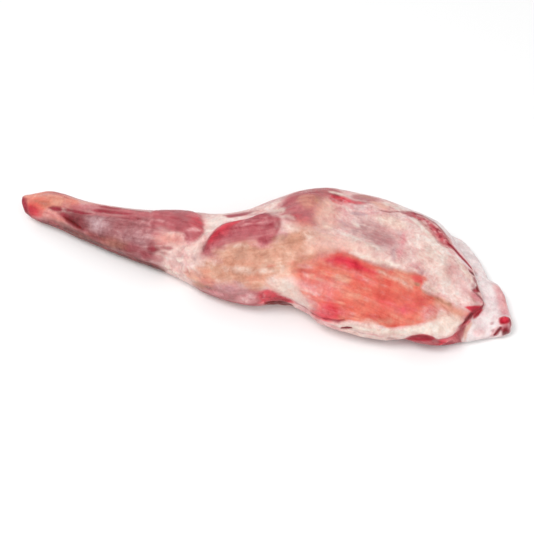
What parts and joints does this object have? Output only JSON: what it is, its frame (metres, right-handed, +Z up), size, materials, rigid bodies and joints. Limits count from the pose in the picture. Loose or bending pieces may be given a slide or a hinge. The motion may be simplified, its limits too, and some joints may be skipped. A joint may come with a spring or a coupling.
{
  "type": "raw goat shoulder",
  "caption": "Raw goat shoulder on the bone: slim foreshank, rounded arm and broad blade end, with pale fat, membrane and bare red muscle, lying flat.",
  "frame": {"origin": "middle of the bounding box at its underside, on the table", "axes": "+X along the limb from the sawn shank end to the blade, +Y to the far side, +Z up"},
  "size_m": [0.466, 0.143, 0.0711],
  "materials": {
    "meat": "moist satin, pale fat over red muscle"
  },
  "bodies": {
    "root": {"shoulder": "meat"}
  },
  "joints": []
}
